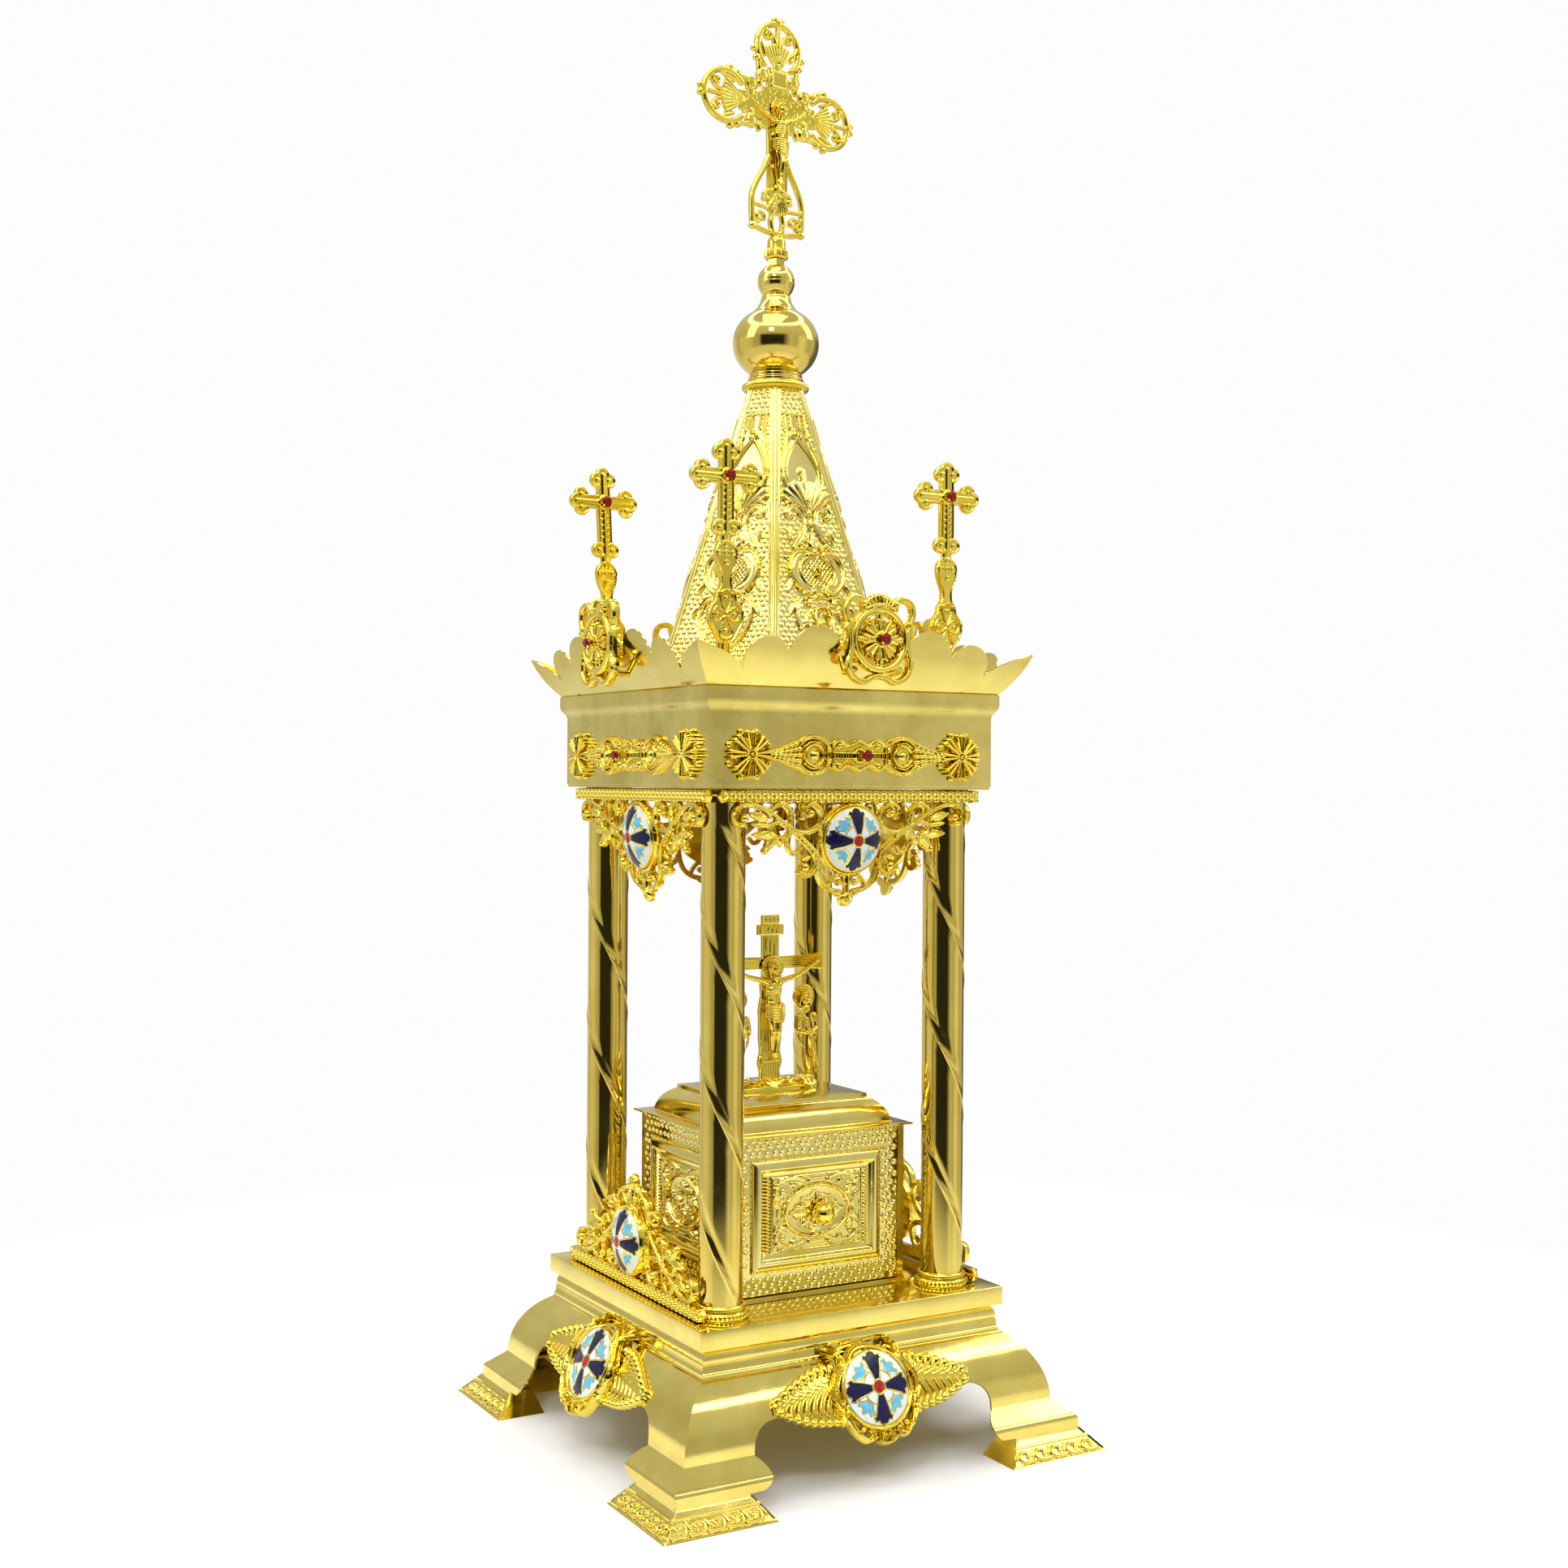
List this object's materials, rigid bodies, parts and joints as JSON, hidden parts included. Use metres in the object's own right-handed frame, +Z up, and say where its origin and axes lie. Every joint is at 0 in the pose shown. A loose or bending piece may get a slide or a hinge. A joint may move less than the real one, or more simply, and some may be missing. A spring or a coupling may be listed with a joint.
{
  "type": "tabernacle box",
  "caption": "Gilt metal tabernacle: a square bracket-footed base, a casket with a drawer under a columned canopy, a petal crown, small crosses, a tall spire and a finial cross.",
  "frame": {"origin": "on the floor, under the middle of the base", "axes": "+Z up along the spire's axis, -Y out of the drawer's front, +X to the right of someone facing that front"},
  "size_m": [0.273, 0.273, 0.805],
  "materials": {
    "sheet_gold": "polished gilt sheet",
    "cast_gold": "bright gilt casting",
    "enamel": "glossy cloisonne enamel",
    "gem_glass": "faceted red glass",
    "steel": "plain turned steel"
  },
  "bodies": {
    "stand": {"calvary_base": "cast_gold", "calvary_corpus": "cast_gold", "calvary_cross": "cast_gold", "calvary_figure_left": "cast_gold", "calvary_figure_right": "cast_gold", "canopy_plate": "sheet_gold", "cartouches": "cast_gold", "casket_back": "sheet_gold", "casket_floor": "sheet_gold", "casket_left": "sheet_gold", "casket_lid": "sheet_gold", "casket_posts": "sheet_gold", "casket_right": "sheet_gold", "column_back_left": "sheet_gold", "column_back_right": "sheet_gold", "column_base_collars": "cast_gold", "column_front_left": "sheet_gold", "column_front_right": "sheet_gold", "column_top_collars": "cast_gold", "corner_crosses": "cast_gold", "cresting_back": "cast_gold", "cresting_left": "cast_gold", "cresting_right": "cast_gold", "crown_sides": "sheet_gold", "deck_slab": "sheet_gold", "drawer_runners": "sheet_gold", "enamel_discs": "enamel", "finial_ball": "sheet_gold", "finial_cap": "sheet_gold", "finial_flange": "sheet_gold", "finial_hex_neck": "sheet_gold", "finial_rod": "steel", "foot_back_left": "sheet_gold", "foot_back_right": "sheet_gold", "foot_front_left": "sheet_gold", "foot_front_right": "sheet_gold", "frieze_ornaments": "cast_gold", "frieze_sides": "sheet_gold", "gems": "gem_glass", "onion_dome": "sheet_gold", "rod_nuts": "steel", "rod_washers": "steel", "roof_plate": "sheet_gold", "skirt_back": "sheet_gold", "skirt_front": "sheet_gold", "skirt_left": "sheet_gold", "skirt_right": "sheet_gold", "spire": "sheet_gold", "tie_rods": "steel", "top_cross": "cast_gold", "valance_back": "cast_gold", "valance_front": "cast_gold", "valance_left": "cast_gold", "valance_right": "cast_gold", "winged_medallions": "cast_gold"},
    "drawer": {"drawer_front": "sheet_gold", "drawer_tray": "sheet_gold", "drawer_knob": "cast_gold", "drawer_knob_screw": "steel"}
  },
  "joints": [
    {"name": "drawer_slide", "type": "slide", "parent": "stand", "child": "drawer", "axis": [0, -1, 0], "range_m": [0, 0.085]}
  ]
}
